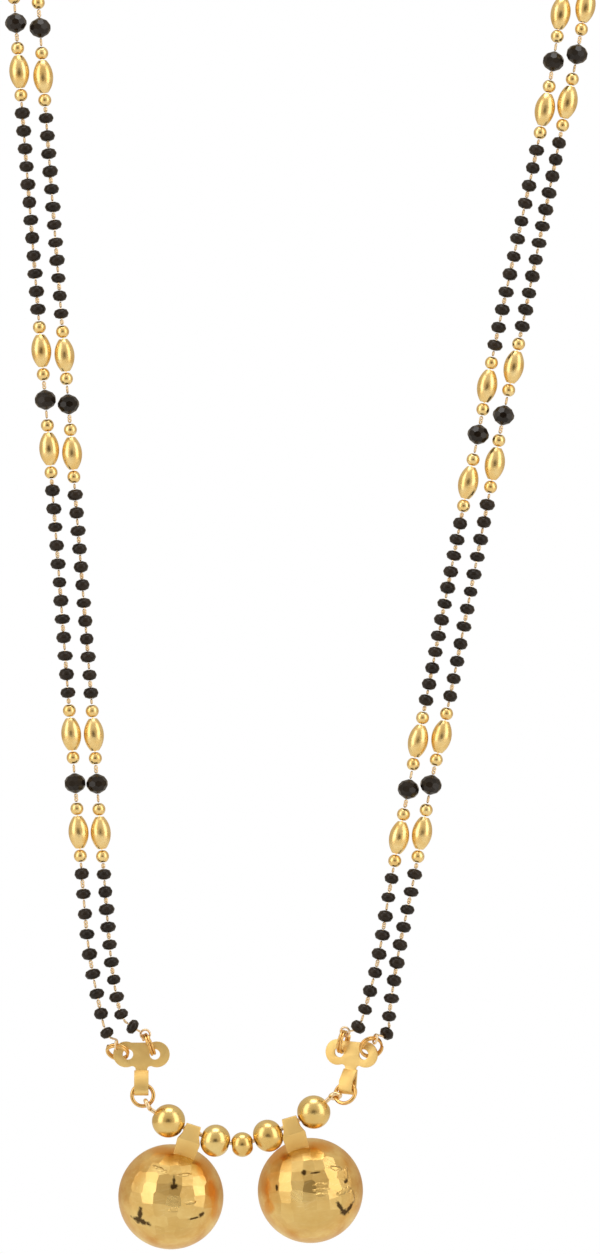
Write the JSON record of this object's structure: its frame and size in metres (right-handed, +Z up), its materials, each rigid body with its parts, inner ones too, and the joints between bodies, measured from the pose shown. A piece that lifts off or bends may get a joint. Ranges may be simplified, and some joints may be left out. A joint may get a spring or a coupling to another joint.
{
  "type": "mangalsutra necklace",
  "caption": "Mangalsutra with black seed beads and gold bead groups on wire strings, end bars, a wired row of gold balls, round cup pendants on folded bails and an S-hook at the nape",
  "frame": {"origin": "middle of the S-hook at the nape, from which the piece hangs", "axes": "+Z up, along the hang; the front with the cups faces -Y; +X is the viewer's right seen from the front"},
  "size_m": [0.1204, 0.1066, 0.3028],
  "materials": {
    "gold": "polished gold",
    "gold_wire": "polished peach-gold wire",
    "black_glass": "glossy opaque black-brown glass"
  },
  "bodies": {
    "necklace": {"left_outer_seeds": "black_glass", "left_outer_gold": "gold", "left_outer_black": "black_glass", "left_outer_wire": "gold_wire", "left_inner_seeds": "black_glass", "left_inner_gold": "gold", "left_inner_black": "black_glass", "left_inner_wire": "gold_wire", "right_inner_seeds": "black_glass", "right_inner_gold": "gold", "right_inner_black": "black_glass", "right_inner_wire": "gold_wire", "right_outer_seeds": "black_glass", "right_outer_gold": "gold", "right_outer_black": "black_glass", "right_outer_wire": "gold_wire", "left_outer_ring": "gold", "left_inner_ring": "gold", "right_inner_ring": "gold", "right_outer_ring": "gold", "left_end_bar": "gold", "right_end_bar": "gold", "left_plain_ring": "gold", "right_plain_ring": "gold", "row_wire": "gold_wire", "left_large_ball": "gold", "left_medium_ball": "gold", "centre_ball": "gold", "right_medium_ball": "gold", "right_large_ball": "gold", "left_back_ring": "gold", "right_back_ring": "gold", "s_hook": "gold"},
    "left_cup": {"left_vati": "gold"},
    "right_cup": {"right_vati": "gold"}
  },
  "joints": [
    {"name": "left_cup_swing", "type": "hinge", "parent": "necklace", "child": "left_cup", "pos_m": [-0.01963, -0.1, -0.26561], "axis": [0.9208, 0, -0.39], "range_deg": [-50, 50]},
    {"name": "right_cup_swing", "type": "hinge", "parent": "necklace", "child": "right_cup", "pos_m": [-0.00167, -0.1, -0.26436], "axis": [0.8879, 0, 0.46], "range_deg": [-50, 50]}
  ]
}
